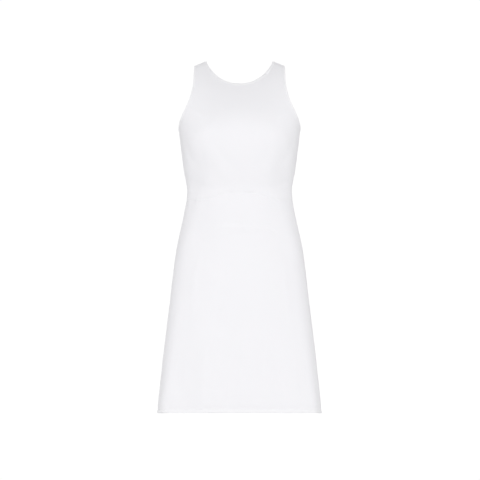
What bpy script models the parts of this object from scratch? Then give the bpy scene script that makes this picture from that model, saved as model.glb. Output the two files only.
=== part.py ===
"""Tennis dress, filled out as it is worn: a sleeveless bodice sewn to a flared skirt.

Units are metres and +Z is up. The front faces -Y and the wearer's left is at +X. The origin lies midway
between the two shoulder straps, at the height of the shoulder tops, where a wearer holds the dress up.

The whole outer surface is one function of two numbers. angle runs round the figure from the wearer's left
side seam, 0, to the right one, pi. fall is the square root of the depth below the shoulder tops, and it is
counted positive on the front and negative on the back, so the cloth passes smoothly over the shoulders.
"""

import math
from collections import namedtuple

import bpy
import numpy as np

# Cloth and seams
WALL = 0.0012
HEM_WALL = 0.0023
HEM_TURN = 0.009
HEM_STEP = 0.0004
SEAM_GAP = 0.0003
BAND_WIDTH = 0.006
BAND_WALL = 0.0020
BAND_PROUD = 0.0004
BAND_ROUNDING = 0.0006

# Horizontal sections of the dress, from the shoulder tops to the hem
Section = namedtuple("Section", "height half_width front_depth back_depth squareness")
SECTIONS = (
    Section(0.0000, 0.1720, 0.0000, 0.0000, 2.20),
    Section(-0.0150, 0.1705, 0.0290, 0.0310, 2.20),
    Section(-0.0550, 0.1665, 0.0640, 0.0680, 2.20),
    Section(-0.0950, 0.1600, 0.0905, 0.0870, 2.20),
    Section(-0.1300, 0.1550, 0.1095, 0.0950, 2.22),
    Section(-0.1690, 0.1491, 0.1205, 0.0985, 2.25),
    Section(-0.1985, 0.1453, 0.1210, 0.0975, 2.25),
    Section(-0.2426, 0.1400, 0.1125, 0.0930, 2.22),
    Section(-0.2867, 0.1330, 0.0990, 0.0850, 2.18),
    Section(-0.3161, 0.1285, 0.0905, 0.0805, 2.15),
    Section(-0.3308, 0.1289, 0.0890, 0.0810, 2.15),
    Section(-0.3700, 0.1350, 0.0930, 0.0890, 2.18),
    Section(-0.4141, 0.1446, 0.1005, 0.1005, 2.22),
    Section(-0.4582, 0.1540, 0.1065, 0.1105, 2.30),
    Section(-0.5170, 0.1622, 0.1110, 0.1170, 2.40),
    Section(-0.6052, 0.1727, 0.1140, 0.1205, 2.55),
    Section(-0.6934, 0.1835, 0.1160, 0.1215, 2.65),
    Section(-0.7816, 0.1936, 0.1180, 0.1225, 2.72),
    Section(-0.8624, 0.2022, 0.1200, 0.1240, 2.80),
)
HEM_HEIGHT = SECTIONS[-1].height

# The shoulder line slopes down from the neck, and the slope dies out down the chest
SHOULDER_SLOPE = 0.47
SLOPE_FROM = 0.084
SLOPE_BLEND = 0.008
SLOPE_ENDS = -0.120

# Neckline scoops: (x / half width) ** across + (depth / full depth) ** down = 1
Scoop = namedtuple("Scoop", "half_width depth across down")
FRONT_NECK = Scoop(0.0805, 0.0546, 2.2, 1.3)
BACK_NECK = Scoop(0.0805, 0.1020, 2.3, 1.6)

# Armhole edges as seen from the front, from the shoulder down. The side seam ends each of them
EdgePoint = namedtuple("EdgePoint", "x height")
SHOULDER_X = 0.1108
FRONT_ARMHOLE = (
    EdgePoint(0.1128, -0.0368),
    EdgePoint(0.1177, -0.0735),
    EdgePoint(0.1249, -0.0960),
    EdgePoint(0.1382, -0.1250),
    EdgePoint(0.1484, -0.1544),
)
BACK_ARMHOLE = (
    EdgePoint(0.1050, -0.0440),
    EdgePoint(0.0955, -0.0830),
    EdgePoint(0.0925, -0.1150),
    EdgePoint(0.1010, -0.1420),
    EdgePoint(0.1250, -0.1640),
)
UNDERARM_HEIGHT = -0.1655

# Waist seam: it rises to the centre front
WAIST_SIDE_HEIGHT = -0.3406
WAIST_FRONT_RISE = 0.0176
WAIST_RISE_INNER = 0.028
WAIST_RISE_OUTER = 0.098
WAIST_BACK_DIP = 0.003

# Soft flares of the skirt. turn is in degrees round the figure at the hem: 0 at the centre front, 90 at the
# wearer's left side, 180 at the centre back. drift is how far a flare has turned on its way down to the hem
Flare = namedtuple("Flare", "turn drift top rise spread")
FLARES = (
    Flare(8.0, 6.0, -0.470, 0.0040, 10.0),
    Flare(-22.0, -3.0, -0.580, 0.0030, 9.0),
    Flare(55.0, 5.0, -0.500, 0.0050, 10.0),
    Flare(-57.0, -5.0, -0.520, 0.0045, 10.0),
    Flare(-7.0, 1.0, -0.600, -0.0025, 8.0),
    Flare(29.0, 4.0, -0.520, -0.0040, 11.0),
    Flare(-40.0, -3.0, -0.560, -0.0035, 9.0),
    Flare(104.0, 3.0, -0.560, -0.0035, 10.0),
    Flare(128.0, 3.0, -0.480, 0.0050, 11.0),
    Flare(150.0, 2.0, -0.580, -0.0040, 10.0),
    Flare(172.0, -4.0, -0.500, 0.0045, 11.0),
    Flare(196.0, 2.0, -0.600, -0.0035, 10.0),
    Flare(221.0, -4.0, -0.520, 0.0045, 12.0),
    Flare(247.0, -2.0, -0.560, -0.0040, 10.0),
)

# Levels at which the bodice's grid changes: where the armhole turns under the arm, where the strap begins
# at the armhole, and where it begins at the neckline
Division = namedtuple("Division", "underarm armhole_strap neck_strap")
FRONT_DIVISION = Division(-0.100, -0.046, -0.036)
BACK_DIVISION = Division(-0.150, -0.088, -0.078)

# How finely the panels are divided
UNDERARM_COLUMNS = 8
STRAP_COLUMNS = 3
NECK_COLUMNS = 16
BODICE_ROWS = 11
CHEST_ROWS = 5
STRAP_ROWS = 8
SKIRT_ROWS = 13
CHEST_COLUMNS = 2 * STRAP_COLUMNS + NECK_COLUMNS
PANEL_COLUMNS = 2 * UNDERARM_COLUMNS + CHEST_COLUMNS

# Fabric: a cool white knit with a soft satin face, its bands a shade lighter
PANEL_COLOUR = (0.905, 0.900, 0.925, 1.0)
BAND_COLOUR = (0.925, 0.922, 0.940, 1.0)
FABRIC_ROUGHNESS = 0.72
SHARP_ANGLE = math.radians(40)

# Sampling used by the surface functions
SMALL = 1e-4
HEIGHT_PASSES = 40
ARC_SAMPLES = 400
EDGE_SAMPLES = 241


def spline(knots, values):
    """A natural cubic spline through the rows of a table, as a function."""
    knots = np.asarray(knots, float)
    values = np.asarray(values, float)
    step = np.diff(knots)
    slope = np.diff(values) / step
    system = np.eye(len(knots))
    change = np.zeros(len(knots))
    for row in range(1, len(knots) - 1):
        system[row, row - 1] = step[row - 1]
        system[row, row] = 2 * (step[row - 1] + step[row])
        system[row, row + 1] = step[row]
        change[row] = 6 * (slope[row] - slope[row - 1])
    bend = np.linalg.solve(system, change)

    def value_at(place):
        left = np.clip(np.searchsorted(knots, place) - 1, 0, len(step) - 1)
        gone = place - knots[left]
        start = slope[left] - step[left] * (2 * bend[left] + bend[left + 1]) / 6
        twist = (bend[left + 1] - bend[left]) / (6 * step[left])
        return values[left] + gone * (start + gone * (bend[left] / 2 + gone * twist))

    return value_at


FALLS = [math.sqrt(-section.height) for section in SECTIONS]
half_width_at = spline(FALLS, [section.half_width for section in SECTIONS])
front_depth_at = spline(FALLS, [section.front_depth for section in SECTIONS])
back_depth_at = spline(FALLS, [section.back_depth for section in SECTIONS])
squareness_at = spline(FALLS, [section.squareness for section in SECTIONS])


def smooth_step(value, start, end):
    share = np.clip((value - start) / (end - start), 0, 1)
    return share * share * (3 - 2 * share)


def shoulder_drop(x, height):
    """How far the sloping shoulder lowers the surface at x."""
    out = np.abs(x) - SLOPE_FROM
    slope = SHOULDER_SLOPE * (np.sqrt(out**2 + SLOPE_BLEND**2) + out) / 2
    return slope * (1 - smooth_step(-height, 0, -SLOPE_ENDS))


def surface(angle, fall):
    """Points of the dress's outer surface, before the flares."""
    angle, fall = np.broadcast_arrays(np.asarray(angle, float), np.asarray(fall, float))
    down = np.abs(fall)
    power = squareness_at(down)
    size = (np.abs(np.cos(angle)) ** power + np.abs(np.sin(angle)) ** power) ** (1 / power)
    depth = np.where(fall >= 0, front_depth_at(down), -back_depth_at(down))
    x = half_width_at(down) * np.cos(angle) / size
    y = -depth * np.sin(angle) / size
    z = -(fall**2) - shoulder_drop(x, -(fall**2))
    return np.stack([x, y, z], axis=-1)


def slopes(angle, fall):
    """How the surface point moves for a unit of angle and a unit of fall."""
    by_angle = (surface(angle + SMALL, fall) - surface(angle - SMALL, fall)) / (2 * SMALL)
    by_fall = (surface(angle, fall + SMALL) - surface(angle, fall - SMALL)) / (2 * SMALL)
    return by_angle, by_fall


def outward(angle, fall):
    """The surface's unit normal."""
    normal = np.cross(*slopes(angle, fall))
    return normal / np.linalg.norm(normal, axis=-1, keepdims=True)


def seen_from_front(x, height, side):
    """(angle, fall) of the surface point that a front view shows at x and height. side is 1 or -1."""
    level = height
    for _ in range(HEIGHT_PASSES):
        level = min(height + float(shoulder_drop(x, level)), 0.0)
    down = math.sqrt(-level)
    power = float(squareness_at(down))
    across = x / float(half_width_at(down))
    forward = (1 - abs(across) ** power) ** (1 / power)
    return math.atan2(forward, across), side * down


def seam_angles(fall, count):
    """Angles from the left side seam to the right one, evenly spaced along the cloth at this fall."""
    angles = np.linspace(0, math.pi, ARC_SAMPLES)
    points = surface(angles, np.full(ARC_SAMPLES, fall))
    run = np.concatenate([[0], np.cumsum(np.linalg.norm(np.diff(points, axis=0), axis=1))])
    return np.interp(np.linspace(0, run[-1], count + 1), run, angles)


def at_side_seam(fall):
    """The angle at which a panel stops, half a seam gap from the side seam."""
    by_angle, _ = slopes(np.zeros(1), np.full(1, fall))
    return SEAM_GAP / 2 / float(np.linalg.norm(by_angle))


def at_shoulder_seam(angle, side):
    """The fall at which a panel stops, half a seam gap from the shoulder seam."""
    _, by_fall = slopes(np.full(1, angle), np.zeros(1))
    return side * SEAM_GAP / 2 / float(np.linalg.norm(by_fall))


# The waist seam


def waist_fall(angle, side, below):
    """fall of the waist seam, moved down by below, at an angle on the front (1) or back (-1)."""
    x = np.abs(surface(angle, np.full(len(angle), math.sqrt(-WAIST_SIDE_HEIGHT)))[:, 0])
    middle = 1 - smooth_step(x, WAIST_RISE_INNER, WAIST_RISE_OUTER)
    height = WAIST_SIDE_HEIGHT + middle * (WAIST_FRONT_RISE if side > 0 else -WAIST_BACK_DIP)
    return side * np.sqrt(below - height)


# Finished edges of the neck and the armholes, as closed rings of (angle, fall)


def evenly(edge, count):
    """count + 1 places along an edge of (angle, fall), evenly spaced along the cloth."""
    points = surface(edge[:, 0], edge[:, 1])
    run = np.concatenate([[0], np.cumsum(np.linalg.norm(np.diff(points, axis=0), axis=1))])
    places = np.linspace(0, run[-1], count + 1)
    return np.stack([np.interp(places, run, edge[:, 0]), np.interp(places, run, edge[:, 1])], axis=1)


def in_portions(edge, levels, counts):
    """Places along an edge. It is cut at the given levels, and each portion is divided by its own count."""
    places = [edge[:1]]
    start = 0
    for level, count in zip([*levels, None], counts):
        if level is None:
            stop = len(edge) - 1
        else:
            passed = np.sign(edge[:, 1] ** 2 + level)
            stop = int(np.argmax(passed != passed[0]))
        places.append(evenly(edge[start : stop + 1], count)[1:])
        start = stop
    return np.concatenate(places)


def neck_half(scoop, division, side):
    """From the left shoulder down to the centre front or back."""
    edge = []
    for turn in np.linspace(0, math.pi / 2, EDGE_SAMPLES):
        x = scoop.half_width * math.cos(turn) ** (2 / scoop.across)
        depth = scoop.depth * math.sin(turn) ** (2 / scoop.down)
        edge.append(seen_from_front(x, -depth - float(shoulder_drop(x, 0)), side))
    edge = np.array(edge)
    edge[0, 1] = 0
    edge[-1, 0] = math.pi / 2
    return in_portions(edge, [division.neck_strap], [STRAP_ROWS, NECK_COLUMNS // 2])


def neck_edge(side):
    """From the left shoulder to the right one, over the front (1) or the back (-1)."""
    half = neck_half(*((FRONT_NECK, FRONT_DIVISION) if side > 0 else (BACK_NECK, BACK_DIVISION)), side)
    return np.concatenate([half, mirrored(half)[::-1][1:]])


def neck_ring():
    """From the left shoulder over the front to the right one, and back behind."""
    return np.concatenate([neck_edge(1)[:-1], neck_edge(-1)[::-1][:-1]])


def armhole_halves():
    """The left armhole's edge from the underarm up to the shoulder, over the front and over the back."""
    rows = [(0.0, math.sqrt(-UNDERARM_HEIGHT))]
    rows += [seen_from_front(row.x, row.height, 1) for row in reversed(FRONT_ARMHOLE)]
    shoulder = (seen_from_front(SHOULDER_X, -float(shoulder_drop(SHOULDER_X, 0)), 1)[0], 0.0)
    rows.append(shoulder)
    rows += [seen_from_front(row.x, row.height, -1) for row in BACK_ARMHOLE]
    rows.append((0.0, -math.sqrt(-UNDERARM_HEIGHT)))
    # Past each end the edge goes on as its own reflection in the side seam
    rows = np.array([(-rows[1][0], rows[1][1]), *rows, (-rows[-2][0], rows[-2][1])])
    points = surface(rows[:, 0], rows[:, 1])
    run = np.concatenate([[0], np.cumsum(np.linalg.norm(np.diff(points, axis=0), axis=1))])
    angle_at, fall_at = spline(run, rows[:, 0]), spline(run, rows[:, 1])
    shoulder_run = run[len(FRONT_ARMHOLE) + 2]
    halves = []
    for start, division in ((run[1], FRONT_DIVISION), (run[-2], BACK_DIVISION)):
        places = np.linspace(start, shoulder_run, EDGE_SAMPLES)
        edge = np.stack([angle_at(places), fall_at(places)], axis=1)
        edge[0, 0] = 0
        edge[-1] = shoulder
        levels = [division.underarm, division.armhole_strap]
        halves.append(in_portions(edge, levels, [UNDERARM_COLUMNS, CHEST_ROWS, STRAP_ROWS]))
    return halves


def armhole_ring():
    """The left armhole: from the underarm up the front, over the shoulder and down the back."""
    front, back = armhole_halves()
    return np.concatenate([front[:-1], back[::-1][:-1]])


def ring_frames(ring):
    """For each point of a ring: a step in (angle, fall) for each metre away from the opening."""
    points = surface(ring[:, 0], ring[:, 1])
    along = np.roll(points, -1, axis=0) - np.roll(points, 1, axis=0)
    away = np.cross(outward(ring[:, 0], ring[:, 1]), along)
    away /= np.linalg.norm(away, axis=1, keepdims=True)
    by_angle, by_fall = slopes(ring[:, 0], ring[:, 1])
    steps = []
    for row, direction in enumerate(away):
        frame = np.stack([by_angle[row], by_fall[row]], axis=1)
        steps.append(np.linalg.lstsq(frame, direction, rcond=None)[0])
    # A point on the shoulder seam or on the side seam stays on it
    return np.array(steps) * (ring != 0)


def moved_in(ring, distance):
    """The ring moved along the cloth, away from its opening."""
    return ring + distance * ring_frames(ring)


# Panels: grids of (angle, fall), with rows from the waist seam up


def mirrored(places):
    """The same places on the wearer's right."""
    return np.stack([math.pi - places[..., 0], places[..., 1]], axis=-1)


def filled(bottom, top, left, right):
    """Rows of places that fill the patch inside four edges, as a Coons patch does."""
    up = np.linspace(0, 1, len(left))[:, None, None]
    over = np.linspace(0, 1, len(bottom))[None, :, None]
    levels = (1 - up) * bottom[None] + up * top[None]
    sides = (1 - over) * left[:, None] + over * right[:, None]
    low = (1 - over) * bottom[0] + over * bottom[-1]
    high = (1 - over) * top[0] + over * top[-1]
    return levels + sides - (1 - up) * low - up * high


def between(start, end, count):
    """count + 1 places on the straight way from one (angle, fall) to another."""
    share = np.linspace(0, 1, count + 1)[:, None]
    return (1 - share) * start + share * end


def seam_edges(side):
    """A bodice panel's edges at the left armhole, from the underarm up, and at the neck, from the left."""
    steps = UNDERARM_COLUMNS + CHEST_ROWS + STRAP_ROWS
    armhole = moved_in(armhole_ring(), BAND_WIDTH + SEAM_GAP)
    armhole = armhole[: steps + 1] if side > 0 else np.concatenate([armhole[:1], armhole[: steps - 1 : -1]])
    armhole = armhole.copy()
    armhole[0, 1] = side * abs(armhole[0, 1])
    armhole[0, 0] = at_side_seam(armhole[0, 1])
    armhole[-1, 1] = at_shoulder_seam(armhole[-1, 0], side)
    across = 2 * STRAP_ROWS + NECK_COLUMNS
    neck = moved_in(neck_ring(), BAND_WIDTH + SEAM_GAP)
    neck = neck[: across + 1] if side > 0 else np.concatenate([neck[:1], neck[: across - 1 : -1]])
    neck = neck.copy()
    neck[[0, -1], 1] = at_shoulder_seam(neck[0, 0], side)
    return armhole, neck


def bodice_grid(side):
    """Rows of (angle, fall) from the waist seam up, with nan where the armholes and the neck are open."""
    armhole, neck = seam_edges(side)
    under = armhole[: UNDERARM_COLUMNS + 1]
    chest_side = armhole[UNDERARM_COLUMNS : UNDERARM_COLUMNS + CHEST_ROWS + 1]
    strap_side = armhole[UNDERARM_COLUMNS + CHEST_ROWS :]
    neck_side = neck[: STRAP_ROWS + 1][::-1]
    scoop = neck[STRAP_ROWS : STRAP_ROWS + NECK_COLUMNS + 1]

    chest = between(under[-1], mirrored(under[-1]), CHEST_COLUMNS)
    top = np.concatenate([under[:-1], chest, mirrored(under)[::-1][1:]])
    bottom = np.empty(top.shape)
    even = seam_angles(side * math.sqrt(-WAIST_SIDE_HEIGHT), PANEL_COLUMNS)
    bottom[:, 0] = (even + top[:, 0]) / 2
    bottom[[0, -1], 0] = top[[0, -1], 0]
    bottom[:, 1] = waist_fall(bottom[:, 0], side, -SEAM_GAP / 2)

    rows = BODICE_ROWS + CHEST_ROWS + STRAP_ROWS
    grid = np.full((rows + 1, PANEL_COLUMNS + 1, 2), math.nan)
    for row in range(BODICE_ROWS + 1):
        share = row / BODICE_ROWS
        grid[row] = (1 - share) * bottom + share * top
    strap_base = between(strap_side[0], neck_side[0], STRAP_COLUMNS)
    chest_top = np.concatenate([strap_base[:-1], scoop, mirrored(strap_base)[::-1][1:]])
    chest_patch = filled(chest, chest_top, chest_side, mirrored(chest_side))
    first, last = UNDERARM_COLUMNS, PANEL_COLUMNS - UNDERARM_COLUMNS
    grid[BODICE_ROWS + 1 : BODICE_ROWS + CHEST_ROWS + 1, first : last + 1] = chest_patch[1:]
    shoulder = between(strap_side[-1], neck_side[-1], STRAP_COLUMNS)
    strap = filled(strap_base, shoulder, strap_side, neck_side)[1:]
    grid[BODICE_ROWS + CHEST_ROWS + 1 :, first : first + STRAP_COLUMNS + 1] = strap
    grid[BODICE_ROWS + CHEST_ROWS + 1 :, last - STRAP_COLUMNS : last + 1] = mirrored(strap)[:, ::-1]
    return grid


def skirt_grid(side, waist_angles):
    """Rows of (angle, fall) from the hem up, the last one just under the waist seam."""
    hem = np.empty((PANEL_COLUMNS + 1, 2))
    hem[:, 1] = side * math.sqrt(-HEM_HEIGHT)
    hem[:, 0] = seam_angles(hem[0, 1], PANEL_COLUMNS)
    hem[0, 0] = at_side_seam(hem[0, 1])
    hem[-1, 0] = math.pi - hem[0, 0]
    waist = np.stack([waist_angles, waist_fall(waist_angles, side, SEAM_GAP / 2)], axis=1)
    turn_top = math.sqrt(-HEM_HEIGHT - HEM_TURN)
    above_turn = math.sqrt(-HEM_HEIGHT - HEM_TURN - HEM_STEP)
    full = waist[:, 1] - hem[:, 1]
    shares = [(side * turn_top - hem[:, 1]) / full, (side * above_turn - hem[:, 1]) / full]
    shares += [
        shares[1] + (1 - shares[1]) * row / (SKIRT_ROWS - 2) for row in range(1, SKIRT_ROWS - 1)
    ]
    rows = [hem]
    for share in shares:
        rows.append(hem + share[:, None] * (waist - hem))
    return np.array(rows)


def flare_rise(places):
    """How far the flares move the skirt's cloth out at each (angle, fall)."""
    angle, fall = np.degrees(places[..., 0]), places[..., 1]
    turn = np.where(fall >= 0, 90 - angle, 90 + angle)
    height = -(fall**2)
    rise = np.zeros(turn.shape)
    for flare in FLARES:
        grown = np.clip((height - flare.top) / (HEM_HEIGHT - flare.top), 0, 1)
        off = (turn - flare.turn + flare.drift * (1 - grown) + 180) % 360 - 180
        rise += flare.rise * smooth_step(grown, 0, 1) * np.exp(-((off / flare.spread) ** 2))
    return rise


# Solids


def wall_from(outer, inner, faces):
    """A closed wall from two sheets of points that share their faces: both sheets and the rim between."""
    shift = len(outer)
    wall = [tuple(face) for face in faces]
    wall += [tuple(corner + shift for corner in reversed(face)) for face in faces]
    edges = {(face[i], face[(i + 1) % len(face)]) for face in faces for i in range(len(face))}
    for start, end in sorted(edges):
        if (end, start) not in edges:
            wall.append((end, start, start + shift, end + shift))
    return np.concatenate([outer, inner]), wall


def grid_faces(present, upward):
    """Faces over a grid of points, numbered along its rows, where all four corners are present."""
    number = np.cumsum(present.reshape(-1)).reshape(present.shape) - 1
    faces = []
    rows, columns = present.shape
    for row in range(rows - 1):
        for column in range(columns - 1):
            if present[row : row + 2, column : column + 2].all():
                low, high = number[row, column : column + 2], number[row + 1, column : column + 2]
                face = (low[0], low[1], high[1], high[0])
                faces.append(face if upward else face[::-1])
    return faces


def panel_solid(name, grid, rise, wall, material):
    """A panel over a grid of (angle, fall), its wall measured inwards from the outer surface."""
    present = ~np.isnan(grid[..., 0])
    places = grid[present]
    normal = outward(places[:, 0], places[:, 1])
    outer = surface(places[:, 0], places[:, 1]) + rise[present][:, None] * normal
    inner = outer - wall[present][:, None] * normal
    faces = grid_faces(present, bool(places[0, 1] < 0))
    return add_object(name, *wall_from(outer, inner, faces), material)


def band_solid(name, ring, mirror, material):
    """A folded strip along a ring: its section is a flat bar with rounded outer corners."""
    low = BAND_WALL - BAND_PROUD
    profile = (
        (BAND_WIDTH, BAND_PROUD),
        (BAND_ROUNDING, BAND_PROUD),
        (0.0, BAND_PROUD - BAND_ROUNDING),
        (0.0, BAND_ROUNDING - low),
        (BAND_ROUNDING, -low),
        (BAND_WIDTH, -low),
    )
    loops = []
    for inset, lift in profile:
        places = moved_in(ring, inset)
        normal = outward(places[:, 0], places[:, 1])
        loops.append(surface(places[:, 0], places[:, 1]) + lift * normal)
    points = np.concatenate(loops)
    count = len(ring)
    faces = []
    for layer in range(len(profile)):
        following = (layer + 1) % len(profile)
        for column in range(count):
            ahead = (column + 1) % count
            face = (
                layer * count + column,
                layer * count + ahead,
                following * count + ahead,
                following * count + column,
            )
            faces.append(face if mirror else face[::-1])
    if mirror:
        points = points * (-1, 1, 1)
    return add_object(name, points, faces, material)


def fabric(name, colour):
    """A knit's material for one piece."""
    material = bpy.data.materials.new(name)
    material.use_nodes = True
    shader = material.node_tree.nodes["Principled BSDF"]
    shader.inputs["Base Color"].default_value = colour
    shader.inputs["Roughness"].default_value = FABRIC_ROUGHNESS
    shader.inputs["Metallic"].default_value = 0.0
    return material


def add_object(name, points, faces, material):
    mesh = bpy.data.meshes.new(name)
    mesh.from_pydata([tuple(point) for point in points], [], [tuple(map(int, face)) for face in faces])
    mesh.validate()
    mesh.shade_smooth()
    mesh.set_sharp_from_angle(angle=SHARP_ANGLE)
    mesh.materials.append(material)
    piece = bpy.data.objects.new(name, mesh)
    bpy.data.collections["tennis_dress"].objects.link(piece)
    return piece


def main():
    for old in list(bpy.data.objects):
        bpy.data.objects.remove(old, do_unlink=True)
    collection = bpy.data.collections.new("tennis_dress")
    bpy.context.scene.collection.children.link(collection)
    for side, word in ((1, "front"), (-1, "back")):
        bodice = bodice_grid(side)
        flat = np.zeros(bodice.shape[:2])
        bodice_fabric = fabric(f"{word}_bodice_knit", PANEL_COLOUR)
        panel_solid(f"{word}_bodice", bodice, flat, flat + WALL, bodice_fabric)
        skirt = skirt_grid(side, bodice[0, :, 0])
        wall = np.full(skirt.shape[:2], WALL)
        wall[:2] = HEM_WALL
        skirt_fabric = fabric(f"{word}_skirt_knit", PANEL_COLOUR)
        panel_solid(f"{word}_skirt", skirt, flare_rise(skirt), wall, skirt_fabric)
    band_solid("neck_band", neck_ring(), False, fabric("neck_band_knit", BAND_COLOUR))
    armhole = armhole_ring()
    band_solid("armhole_band_left", armhole, False, fabric("left_band_knit", BAND_COLOUR))
    band_solid("armhole_band_right", armhole, True, fabric("right_band_knit", BAND_COLOUR))


main()
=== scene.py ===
# %% [markdown]
# # A white tennis dress, sewn from four panels and three bands
# A sleeveless tennis dress has a fitted bodice and a flared skirt, each with a front and a back, and narrow
# folded bands that finish the neck and the armholes. It is shown filled out as it is worn, with nobody in
# it. The model of its pieces is loaded first. Everything below is laid on those pieces, in the same frame:
# metres, +Z up, the front towards -Y and the wearer's left towards +X, with zero between the tops of the
# shoulders.

import math
from collections import namedtuple

import bpy
import numpy as np
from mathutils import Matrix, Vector


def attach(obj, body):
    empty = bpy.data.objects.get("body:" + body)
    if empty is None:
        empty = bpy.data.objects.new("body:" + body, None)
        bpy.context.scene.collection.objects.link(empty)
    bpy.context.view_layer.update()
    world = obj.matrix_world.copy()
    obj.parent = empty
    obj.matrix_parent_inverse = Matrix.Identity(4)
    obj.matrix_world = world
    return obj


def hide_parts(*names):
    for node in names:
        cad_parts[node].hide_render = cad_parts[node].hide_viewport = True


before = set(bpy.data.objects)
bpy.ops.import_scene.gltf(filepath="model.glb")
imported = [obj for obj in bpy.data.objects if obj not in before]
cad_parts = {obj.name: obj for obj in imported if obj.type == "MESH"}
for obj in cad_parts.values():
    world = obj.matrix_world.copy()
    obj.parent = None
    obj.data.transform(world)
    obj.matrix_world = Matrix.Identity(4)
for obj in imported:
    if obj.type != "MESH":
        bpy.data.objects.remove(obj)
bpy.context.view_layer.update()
print("pieces:", sorted(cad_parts))

# %% [markdown]
# ## Camera
# Clothes are photographed from the front with a long lens, so nothing grows smaller with distance. An
# orthographic camera gives the same picture. Its scale is the height of the picture in metres: 480 pixels,
# each taken as 2.45 mm. The dress's middle line falls at pixel 239.54 and its shoulder tops at pixel 61.

# %% Camera, straight in front
PIXEL = 0.00245
PICTURE_SIZE = 480
MIDDLE_LINE_PIXEL = 239.54
SHOULDER_PIXEL = 61.0
CAMERA_DISTANCE = 4.0

camera_data = bpy.data.cameras.new("camera")
camera_data.type = "ORTHO"
camera_data.ortho_scale = PICTURE_SIZE * PIXEL
camera = bpy.data.objects.new("camera", camera_data)
camera.location = (
    (PICTURE_SIZE / 2 - MIDDLE_LINE_PIXEL) * PIXEL,
    -CAMERA_DISTANCE,
    -(PICTURE_SIZE / 2 - SHOULDER_PIXEL) * PIXEL,
)
camera.rotation_euler = (math.pi / 2, 0, 0)
bpy.context.scene.collection.objects.link(camera)
bpy.context.scene.camera = camera
print("camera at", tuple(camera.location), "sees", camera_data.ortho_scale, "m")

# %% [markdown]
# ## Wires
# A material is a graph of nodes, and sums written as nodes are hard to read. One small class wraps an
# output socket and gives it Python's arithmetic, so that a pattern can be written as a formula. Its add
# method makes every other kind of node, for shaders and for Geometry Nodes alike.

# %% A class for node sockets


class Wire:
    """An output socket of a node tree. Arithmetic on wires adds Math nodes."""

    def __init__(self, tree, socket=None):
        self.tree = tree
        self.socket = socket

    def add(self, kind, settings=None, values=None, output=0):
        """Adds a node: its settings first, then the values or links of its sockets."""
        node = self.tree.nodes.new(kind)
        for name, setting in (settings or {}).items():
            setattr(node, name, setting)
        for name, value in (values or {}).items():
            if isinstance(value, Wire):
                self.tree.links.new(value.socket, node.inputs[name])
            else:
                node.inputs[name].default_value = value
        return Wire(self.tree, node.outputs[output])

    def maths(self, operation, *others):
        """A Math node on this wire and, where the operation takes more, on other values."""
        return self.add("ShaderNodeMath", {"operation": operation}, dict(enumerate((self, *others))))

    def clamped(self):
        """This wire, kept between 0 and 1."""
        return self.add("ShaderNodeClamp", {}, {"Value": self})

    def to(self, socket):
        """Links this wire to a node's input."""
        self.tree.links.new(self.socket, socket)

    def __add__(self, other):
        return self.maths("ADD", other)

    def __sub__(self, other):
        return self.maths("SUBTRACT", other)

    def __rsub__(self, other):
        return self.add("ShaderNodeMath", {"operation": "SUBTRACT"}, {0: other, 1: self})

    def __mul__(self, other):
        return self.maths("MULTIPLY", other)

    def __truediv__(self, other):
        return self.maths("DIVIDE", other)

    __radd__ = __add__
    __rmul__ = __mul__


print("wires ready")

# %% [markdown]
# ## Studio
# The dress hangs in a white room. The background has to be pure white, yet white cloth lit evenly from all
# round would have no shape at all. So the world is white only in a thin band at eye level, which is what
# the camera sees, and much dimmer above and below. A lamp in front and one above it make the middle of the
# dress brighter than its sides. Two low lamps and two small side ones keep the skirt bright out to its
# sides, while the upper chest and the hollows beside the waist turn a little grey. Two lamps light the
# back.

# %% World and lights
HORIZON_LIGHT = 1.03
ROOM_LIGHT = 0.485
BAND_INNER = 0.055
BAND_OUTER = 0.075
AIM_HEIGHT = -0.44
Lamp = namedtuple("Lamp", "name x y height size power")
LAMPS = (
    Lamp("front", 0.0, -3.4, -0.70, 1.2, 24.0),
    Lamp("front_top", 0.0, -2.2, 1.60, 2.0, 16.5),
    Lamp("low_left", 1.8, -1.0, -1.12, 0.4, 7.6),
    Lamp("low_right", -1.8, -1.0, -1.12, 0.4, 7.6),
    Lamp("side_left", 2.6, -0.3, 0.40, 1.0, 4.8),
    Lamp("side_right", -2.6, -0.3, 0.40, 1.0, 4.8),
    Lamp("back", 0.0, 3.4, -0.70, 1.2, 20.0),
    Lamp("back_top", 0.0, 2.2, 1.60, 2.0, 14.0),
)

scene = bpy.context.scene
scene.view_settings.view_transform = "Standard"
world = bpy.data.worlds.new("white_room")
world.use_nodes = True
scene.world = world
room = Wire(world.node_tree)
direction = room.add("ShaderNodeTexCoord", output="Generated")
steepness = room.add("ShaderNodeSeparateXYZ", {}, {"Vector": direction}, "Z").maths("ABSOLUTE")
away = room.add(
    "ShaderNodeMapRange",
    {"interpolation_type": "SMOOTHSTEP"},
    {"Value": steepness, "From Min": BAND_INNER, "From Max": BAND_OUTER},
)
strength = HORIZON_LIGHT - away * (HORIZON_LIGHT - ROOM_LIGHT)
strength.to(world.node_tree.nodes["Background"].inputs["Strength"])
world.node_tree.nodes["Background"].inputs["Color"].default_value = (1, 1, 1, 1)

for lamp in LAMPS:
    light_data = bpy.data.lights.new(lamp.name, "AREA")
    light_data.shape = "DISK"
    light_data.size = lamp.size
    light_data.energy = lamp.power
    light = bpy.data.objects.new(lamp.name, light_data)
    light.location = (lamp.x, lamp.y, lamp.height)
    aim = Vector((0, 0, AIM_HEIGHT)) - light.location
    light.rotation_euler = aim.to_track_quat("-Z", "Y").to_euler()
    light.visible_camera = False
    scene.collection.objects.link(light)

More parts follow.
